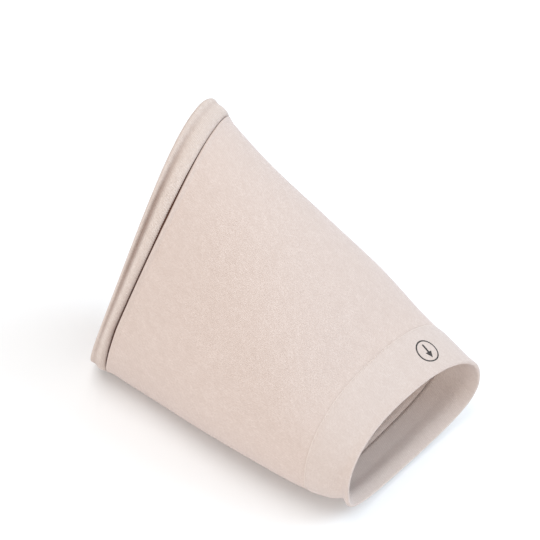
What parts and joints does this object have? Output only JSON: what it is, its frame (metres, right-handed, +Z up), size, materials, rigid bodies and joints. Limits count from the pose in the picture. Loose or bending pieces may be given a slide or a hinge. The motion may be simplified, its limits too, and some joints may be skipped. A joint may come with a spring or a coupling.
{
  "type": "arch support sleeve",
  "caption": "Elastic knitted sleeve for the arch of a right foot, open at toes and heel, with a wide folded toe band and a thick ribbed heel cuff, in its worn form.",
  "frame": {"origin": "in the plane of the sole's inside, under the arch, where the foot bears on the sleeve", "axes": "+X along the foot towards the toes, +Y towards the big toe, +Z up from the sole to the instep"},
  "size_m": [0.1424, 0.1049, 0.1088],
  "materials": {
    "body_knit": "matte fine jersey knit",
    "cuff_knit": "matte fine rib knit",
    "band_knit": "matte folded jersey knit"
  },
  "bodies": {
    "root": {"sleeve_body": "body_knit", "heel_cuff": "cuff_knit", "toe_band": "band_knit"}
  },
  "joints": []
}
